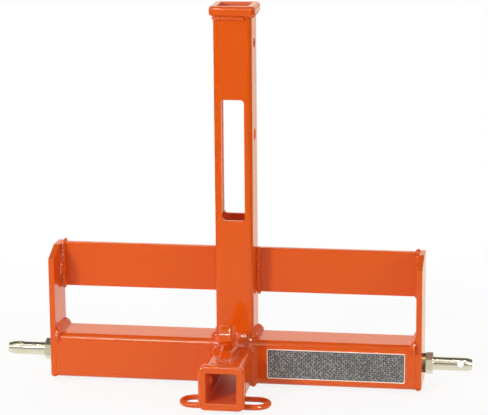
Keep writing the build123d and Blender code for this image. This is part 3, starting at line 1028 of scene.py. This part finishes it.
# %% What the gloss sees of the floor
warm_white = (1.0, 0.96, 0.80, 1.0)
floor_place = add_node(floor_tree, "ShaderNodeTexCoord")
floor_xyz = add_node(floor_tree, "ShaderNodeSeparateXYZ")
far_front = add_node(floor_tree, "ShaderNodeMapRange", From_Min=-3.0, From_Max=0.0)
room_dark = add_node(floor_tree, "ShaderNodeValToRGB")
set_stops(room_dark, ((0.0, 0.16), (0.25, 0.2), (0.9, 0.72), (1.0, 1.0)))
sideways = maths(floor_tree, "ABSOLUTE")
side_dark = add_node(floor_tree, "ShaderNodeMapRange", interpolation_type="SMOOTHSTEP",
                     From_Min=0.75, From_Max=1.1, To_Min=1.0, To_Max=0.12)
room_level = maths(floor_tree, "MULTIPLY")
connect(
    floor_tree,
    (floor_place, "Object", floor_xyz, 0),
    (floor_xyz, "Y", far_front, "Value"),
    (far_front, "Result", room_dark, "Fac"),
    (floor_xyz, "X", sideways, 0),
    (sideways, 0, side_dark, "Value"),
    (room_dark, "Color", room_level, 0),
    (side_dark, "Result", room_level, 1),
)
print("floor is mirrored in the colour", warm_white[:3])

# %% [markdown]
# For camera rays most of the floor's brightness is its own, which keeps it white and leaves only
# a soft shadow. The share rises to all of it away from the hitch, so the floor has no edge. Light
# Path tells the kinds of ray apart: the camera sees white, the gloss sees the room's level, and
# every other ray sees plain paint.

# %% Floor light
rays = add_node(floor_tree, "ShaderNodeLightPath")
far_off = add_node(floor_tree, "ShaderNodeVectorMath", operation="LENGTH")
own_share = add_node(floor_tree, "ShaderNodeMapRange", interpolation_type="SMOOTHSTEP",
                     From_Min=0.45, From_Max=0.95, To_Min=0.85, To_Max=1.0)
warm_glow = add_node(floor_tree, "ShaderNodeMix", data_type="RGBA", A=(1.0, 1.0, 1.0, 1.0), B=warm_white)
mirrored = add_node(floor_tree, "ShaderNodeMix", data_type="FLOAT", A=1.0)
seen = maths(floor_tree, "MAXIMUM")
share = maths(floor_tree, "MULTIPLY")
glow = add_node(floor_tree, "ShaderNodeEmission")
blend = add_node(floor_tree, "ShaderNodeMixShader")
connect(
    floor_tree,
    (floor_place, "Object", far_off, 0),
    (far_off, "Value", own_share, "Value"),
    (rays, "Is Glossy Ray", mirrored, "Factor"),
    (room_level, 0, mirrored, "B"),
    (mirrored, "Result", glow, "Strength"),
    (rays, "Is Glossy Ray", warm_glow, "Factor"),
    (warm_glow, "Result", glow, "Color"),
    (rays, "Is Camera Ray", seen, 0),
    (rays, "Is Glossy Ray", seen, 1),
    (seen, 0, share, 0),
    (own_share, "Result", share, 1),
    (share, 0, blend, "Fac"),
    (floor_shader, "BSDF", blend, 1),
    (glow, "Emission", blend, 2),
    (blend, "Shader", floor_tree.nodes["Material Output"], "Surface"),
)
print("floor paint has", len(floor_tree.nodes), "nodes")

# %% [markdown]
# ## World
#
# The room is a pale sky for soft light, brighter towards the white backdrop behind the hitch. In
# a world, the Generated coordinate is the direction of the ray, so its Y sets the brightness.

# %% Soft sky
world = bpy.data.worlds.new("studio_world")
scene.world = world
world.use_nodes = True
world_tree = world.node_tree
world_tree.nodes.clear()
direction = add_node(world_tree, "ShaderNodeTexCoord")
heading = add_node(world_tree, "ShaderNodeSeparateXYZ")
sky_level = add_node(world_tree, "ShaderNodeMapRange",
                     From_Min=-0.2, From_Max=0.9, To_Min=0.32, To_Max=1.15)
dim_sky = add_node(world_tree, "ShaderNodeBackground", Color=(1.0, 0.99, 0.97, 1.0))
connect(
    world_tree,
    (direction, "Generated", heading, 0),
    (heading, "Y", sky_level, "Value"),
    (sky_level, "Result", dim_sky, "Strength"),
)
print("world:", world.name)

# %% [markdown]
# What the gloss mirrors is drawn by the height of the direction. From the front horizon over the
# top to the back there are a low bright band, a dark gap, a wide bright box, a dark ceiling and
# the white backdrop. It is a little warm, because a cold white would turn the orange pink.

# %% The room in the gloss
frontward = maths(world_tree, "MULTIPLY", -1.0)
height_angle = maths(world_tree, "ARCTAN2")
height_share = maths(world_tree, "DIVIDE", math.pi)
room = add_node(world_tree, "ShaderNodeValToRGB")
set_stops(room, (
    (0.0, 0.60), (0.028, 0.55), (0.045, 0.06), (0.10, 0.06), (0.15, 0.6), (0.40, 0.64),
    (0.45, 0.08), (0.80, 0.12), (0.86, 1.0),
))
warm_room = add_node(world_tree, "ShaderNodeMix", data_type="RGBA", blend_type="MULTIPLY", B=warm_white)
warm_room.inputs["Factor"].default_value = 1.0
mirrored_room = add_node(world_tree, "ShaderNodeBackground", Strength=1.08)
connect(
    world_tree,
    (heading, "Y", frontward, 0),
    (heading, "Z", height_angle, 0),
    (frontward, 0, height_angle, 1),
    (height_angle, 0, height_share, 0),
    (height_share, 0, room, "Fac"),
    (room, "Color", warm_room, "A"),
    (warm_room, "Result", mirrored_room, "Color"),
)
print("room stops:", len(room.color_ramp.elements))

# %% [markdown]
# Light Path picks one of the three: glossy rays get the room, the camera and rays through glass
# get plain white, and all others get the soft sky.

# %% Choose by the ray
world_rays = add_node(world_tree, "ShaderNodeLightPath")
seen_or_clear = maths(world_tree, "MAXIMUM")
white_sky = add_node(world_tree, "ShaderNodeBackground", Color=(1.0, 1.0, 1.0, 1.0), Strength=1.0)
room_mix = add_node(world_tree, "ShaderNodeMixShader")
sky_mix = add_node(world_tree, "ShaderNodeMixShader")
sky_out = add_node(world_tree, "ShaderNodeOutputWorld")
connect(
    world_tree,
    (world_rays, "Is Glossy Ray", room_mix, "Fac"),
    (dim_sky, "Background", room_mix, 1),
    (mirrored_room, "Background", room_mix, 2),
    (world_rays, "Is Camera Ray", seen_or_clear, 0),
    (world_rays, "Is Transmission Ray", seen_or_clear, 1),
    (seen_or_clear, 0, sky_mix, "Fac"),
    (room_mix, "Shader", sky_mix, 1),
    (white_sky, "Background", sky_mix, 2),
    (sky_mix, "Shader", sky_out, "Surface"),
)
print("world has", len(world_tree.nodes), "nodes")

# %% [markdown]
# ## Lamps
#
# Soft boxes shape the faces: a key from the left, a fill from the right, one overhead and one
# behind that reaches into the tubes. They are hidden from glossy rays, because the world above
# already draws what the gloss mirrors. The sparks are the opposite, small and slightly warm lamps
# that only the gloss sees. The first draws the thin bright line on the left edges. Two stand far to
# the sides and two high overhead, where only rounded tips, corners and weld ripples mirror them.

# %% Lamps
spark_colour = (1.0, 0.9, 0.72)


def studio_lamp(name, place, size, power, spark=False, target=(0.0, 0.0, 0.15)):
    """A rectangular area lamp that points at the hitch; size is its width and height."""
    lamp_data = bpy.data.lights.new(name, "AREA")
    lamp_data.shape = "RECTANGLE"
    lamp_data.size, lamp_data.size_y = size
    lamp_data.energy = power
    if spark:
        lamp_data.color = spark_colour
    lamp = bpy.data.objects.new(name, lamp_data)
    scene.collection.objects.link(lamp)
    aim = Vector(target) - Vector(place)
    lamp.matrix_world = Matrix.Translation(place) @ aim.to_track_quat("-Z", "Y").to_matrix().to_4x4()
    lamp.visible_camera = False
    lamp.visible_glossy = spark
    lamp.visible_diffuse = not spark


studio_lamp("key_box", (-1.6, -2.8, 1.35), (0.6, 0.6), 48.5)
studio_lamp("fill_box", (2.7, -1.6, 0.9), (1.2, 1.2), 13.0)
studio_lamp("top_box", (-0.3, -0.1, 2.6), (1.4, 1.4), 8.5)
studio_lamp("back_box", (-0.1, 1.5, 0.6), (0.8, 0.5), 5.5, target=(0.0, 0.0, 0.0))
studio_lamp("line_spark", (-0.85, -3.0, 1.75), (0.75, 0.2), 36.0, spark=True)
studio_lamp("left_spark", (-2.3, -2.5, 1.6), (0.4, 0.4), 130.0, spark=True)
studio_lamp("right_spark", (1.6, -2.7, 1.5), (0.4, 0.4), 130.0, spark=True)
studio_lamp("high_left_spark", (-1.5, -0.75, 2.6), (0.3, 0.3), 25.0, spark=True)
studio_lamp("high_right_spark", (0.6, -0.75, 2.6), (0.3, 0.3), 50.0, spark=True)
